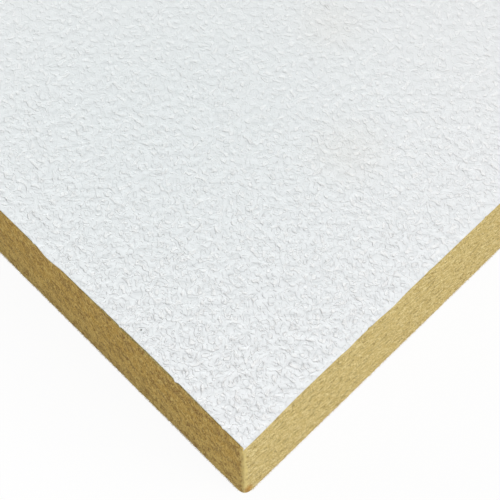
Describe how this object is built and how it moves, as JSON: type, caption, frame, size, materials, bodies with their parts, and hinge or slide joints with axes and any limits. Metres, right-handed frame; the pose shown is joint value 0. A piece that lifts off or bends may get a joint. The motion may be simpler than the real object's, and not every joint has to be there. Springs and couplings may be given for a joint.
{
  "type": "suspended ceiling tile",
  "caption": "Square lay-in ceiling tile: a bonded wool board with square-cut edges, faced with an embossed white sheet whose rim rests on the tees of a suspended grid.",
  "frame": {"origin": "centre of the tile's back, on the surface that it lies on", "axes": "+Z out of the white face, +X and +Y along the square's edges"},
  "size_m": [0.595, 0.595, 0.02],
  "materials": {
    "wool": "golden resin-bonded mineral wool, knife-cut, matte and fibrous",
    "facing": "white vinyl sheet, finely embossed with a meandering relief, matte"
  },
  "bodies": {
    "root": {"wool_board": "wool", "facing": "facing"}
  },
  "joints": []
}
